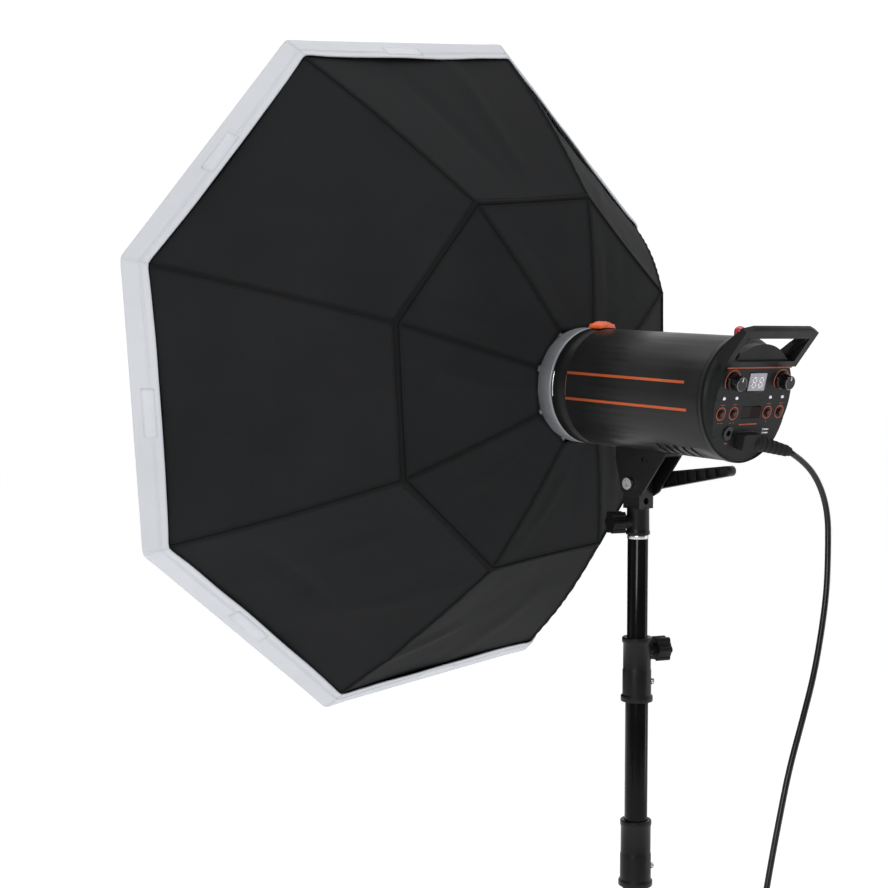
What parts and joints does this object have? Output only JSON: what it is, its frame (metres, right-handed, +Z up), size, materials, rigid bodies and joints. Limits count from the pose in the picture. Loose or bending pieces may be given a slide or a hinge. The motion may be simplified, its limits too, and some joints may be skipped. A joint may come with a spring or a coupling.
{
  "type": "studio softbox",
  "caption": "Octagonal softbox on a monolight flash head, with tilt bracket, telescopic tripod stand and mains lead.",
  "frame": {"origin": "on the floor, on the axis of the light stand's column", "axes": "+Z up along the column; +Y is the way the light shines; +X to the right seen from behind"},
  "size_m": [0.9092, 0.8646, 1.6722],
  "materials": {
    "black_cloth": "matte black nylon",
    "white_cloth": "white translucent nylon",
    "fibreglass": "fibreglass rod",
    "grey_metal": "light grey satin",
    "black_metal": "satin black",
    "tube_black": "gloss black",
    "black_plastic": "matte black",
    "gloss_black": "gloss black",
    "button_grey": "satin dark grey",
    "lamp_white": "translucent white",
    "display": "pale display window",
    "orange": "orange",
    "red_lens": "translucent red",
    "bright_steel": "zinc plated",
    "glass_clear": "clear glass",
    "glass_frosted": "frosted lamp glass",
    "board_green": "circuit board",
    "can_sleeve": "sleeved can",
    "rubber_black": "black rubber",
    "cord_black": "black cable sheath"
  },
  "bodies": {
    "base": {"base_tube": "tube_black", "base_collar": "black_plastic", "leg_hub": "black_plastic", "base_fasteners": "bright_steel"},
    "base_knob": {"base_lock_knob": "black_plastic"},
    "leg_slider": {"leg_collar": "black_plastic", "leg_rivets": "bright_steel"},
    "leg_knob": {"leg_lock_knob": "black_plastic"},
    "mid_section": {"mid_tube": "tube_black", "mid_collar": "black_plastic", "mid_collar_bolt": "bright_steel"},
    "mid_knob": {"mid_lock_knob": "black_plastic"},
    "top_section": {"top_tube": "tube_black", "spigot": "bright_steel"},
    "yoke": {"receiver": "black_metal", "cord_run": "cord_black", "cord_coil": "cord_black", "mains_plug": "cord_black"},
    "yoke_knob": {"receiver_lock_knob": "black_plastic"},
    "head": {"head_bracket": "black_metal", "tilt_bolt": "bright_steel", "barrel": "black_metal", "front_bezel": "black_plastic", "rear_panel": "black_plastic", "carry_handle": "black_plastic", "display_window": "display", "indicator_lamps": "lamp_white", "sensor_dome": "red_lens", "trigger_sockets": "black_plastic", "mains_inlet": "black_plastic", "cord_connector": "cord_black", "capacitors": "can_sleeve", "circuit_board": "board_green", "flash_tube": "glass_frosted", "modelling_lamp": "glass_frosted", "glass_cover": "glass_clear"},
    "lever": {"tilt_lever": "black_plastic"},
    "dial_left": {"left_dial": "gloss_black"},
    "dial_right": {"right_dial": "gloss_black"},
    "button_1": {"push_button_1": "button_grey"},
    "button_2": {"push_button_2": "button_grey"},
    "button_3": {"push_button_3": "button_grey"},
    "button_4": {"push_button_4": "button_grey"},
    "rocker": {"power_switch": "gloss_black"},
    "latch": {"release_latch": "orange"},
    "softbox": {"speed_ring": "grey_metal", "support_rods": "fibreglass", "outer_panels": "black_cloth", "inner_panels": "black_cloth", "inner_baffle": "white_cloth", "front_diffuser": "white_cloth"},
    "leg_1": {"leg_1": "tube_black", "foot_1": "rubber_black"},
    "brace_1": {"brace_1": "tube_black"},
    "leg_2": {"leg_2": "tube_black", "foot_2": "rubber_black"},
    "brace_2": {"brace_2": "tube_black"},
    "leg_3": {"leg_3": "tube_black", "foot_3": "rubber_black"},
    "brace_3": {"brace_3": "tube_black"}
  },
  "joints": [
    {"name": "mid_section_slide", "type": "slide", "parent": "base", "child": "mid_section", "axis": [0, 0, 1], "range_m": [-0.14, 0.34]},
    {"name": "top_section_slide", "type": "slide", "parent": "mid_section", "child": "top_section", "axis": [0, 0, 1], "range_m": [-0.118, 0.43]},
    {"name": "base_knob_turn", "type": "hinge", "parent": "base", "child": "base_knob", "pos_m": [0.02121, 0.02121, 0.664], "axis": [0.7071, 0.7071, 0], "continuous": true},
    {"name": "mid_knob_turn", "type": "hinge", "parent": "mid_section", "child": "mid_knob", "pos_m": [0.02819, -0.01026, 0.89], "axis": [0.9397, -0.342, 0], "continuous": true},
    {"name": "pan", "type": "hinge", "parent": "top_section", "child": "yoke", "pos_m": [0, 0, 1.04], "axis": [0, 0, 1], "continuous": true},
    {"name": "receiver_knob_turn", "type": "hinge", "parent": "yoke", "child": "yoke_knob", "pos_m": [-0.02819, 0.01026, 1.044], "axis": [-0.9397, 0.342, 0], "continuous": true},
    {"name": "tilt", "type": "hinge", "parent": "yoke", "child": "head", "pos_m": [0, 0, 1.09], "axis": [1, 0, 0], "range_deg": [-38, 60], "deforming": ["cord_run"]},
    {"name": "lever_turn", "type": "hinge", "parent": "head", "child": "lever", "pos_m": [0, 0, 1.09], "axis": [1, 0, 0], "range_deg": [0, 70]},
    {"name": "softbox_turn", "type": "hinge", "parent": "head", "child": "softbox", "pos_m": [0, 0.07792, 1.20336], "axis": [0, 0.9991, 0.0419], "continuous": true},
    {"name": "left_dial_turn", "type": "hinge", "parent": "head", "child": "dial_left", "pos_m": [-0.041, -0.1779, 1.21466], "axis": [0, -0.967, -0.2547], "range_deg": [-140, 140]},
    {"name": "right_dial_turn", "type": "hinge", "parent": "head", "child": "dial_right", "pos_m": [0.041, -0.1779, 1.21466], "axis": [0, -0.967, -0.2547], "range_deg": [-140, 140]},
    {"name": "button_1_press", "type": "slide", "parent": "head", "child": "button_1", "axis": [0, 0.967, 0.2547], "range_m": [0, 0.0015], "stiffness_N_per_m": 300, "springref_m": -0.001},
    {"name": "button_2_press", "type": "slide", "parent": "head", "child": "button_2", "axis": [0, 0.967, 0.2547], "range_m": [0, 0.0015], "stiffness_N_per_m": 300, "springref_m": -0.001},
    {"name": "button_3_press", "type": "slide", "parent": "head", "child": "button_3", "axis": [0, 0.967, 0.2547], "range_m": [0, 0.0015], "stiffness_N_per_m": 300, "springref_m": -0.001},
    {"name": "button_4_press", "type": "slide", "parent": "head", "child": "button_4", "axis": [0, 0.967, 0.2547], "range_m": [0, 0.0015], "stiffness_N_per_m": 300, "springref_m": -0.001},
    {"name": "rocker_tip", "type": "hinge", "parent": "head", "child": "rocker", "pos_m": [0, -0.16864, 1.17952], "axis": [0, -0.2547, 0.967], "range_deg": [0, 10]},
    {"name": "latch_pull", "type": "slide", "parent": "head", "child": "latch", "axis": [0, -0.9991, -0.0419], "range_m": [0, 0.006], "stiffness_N_per_m": 300, "springref_m": -0.002},
    {"name": "leg_collar_slide", "type": "slide", "parent": "base", "child": "leg_slider", "axis": [0, 0, 1], "range_m": [0, 0.14394]},
    {"name": "leg_knob_turn", "type": "hinge", "parent": "leg_slider", "child": "leg_knob", "pos_m": [0, -0.034, 0.378], "axis": [0, -1, 0], "continuous": true},
    {"name": "leg_1_spread", "type": "hinge", "parent": "leg_slider", "child": "leg_1", "pos_m": [0, 0.034, 0.36], "axis": [-1, 0, 0], "range_deg": [0, 47.32]},
    {"name": "brace_1_spread", "type": "hinge", "parent": "base", "child": "brace_1", "pos_m": [0, 0.034, 0.10449], "axis": [-1, 0, 0], "range_deg": [-47.32, 0]},
    {"name": "leg_2_spread", "type": "hinge", "parent": "leg_slider", "child": "leg_2", "pos_m": [-0.02944, -0.017, 0.36], "axis": [0.5, -0.866, 0], "range_deg": [0, 47.32]},
    {"name": "brace_2_spread", "type": "hinge", "parent": "base", "child": "brace_2", "pos_m": [-0.02944, -0.017, 0.10449], "axis": [0.5, -0.866, 0], "range_deg": [-47.32, 0]},
    {"name": "leg_3_spread", "type": "hinge", "parent": "leg_slider", "child": "leg_3", "pos_m": [0.02944, -0.017, 0.36], "axis": [0.5, 0.866, 0], "range_deg": [0, 47.32]},
    {"name": "brace_3_spread", "type": "hinge", "parent": "base", "child": "brace_3", "pos_m": [0.02944, -0.017, 0.10449], "axis": [0.5, 0.866, 0], "range_deg": [-47.32, 0]}
  ],
  "couplings": [
    {"joint": "leg_1_spread", "follows": "leg_collar_slide", "rad_per_m": 5.7351},
    {"joint": "brace_1_spread", "follows": "leg_collar_slide", "rad_per_m": -5.7351},
    {"joint": "leg_2_spread", "follows": "leg_collar_slide", "rad_per_m": 5.7351},
    {"joint": "brace_2_spread", "follows": "leg_collar_slide", "rad_per_m": -5.7351},
    {"joint": "leg_3_spread", "follows": "leg_collar_slide", "rad_per_m": 5.7351},
    {"joint": "brace_3_spread", "follows": "leg_collar_slide", "rad_per_m": -5.7351}
  ]
}
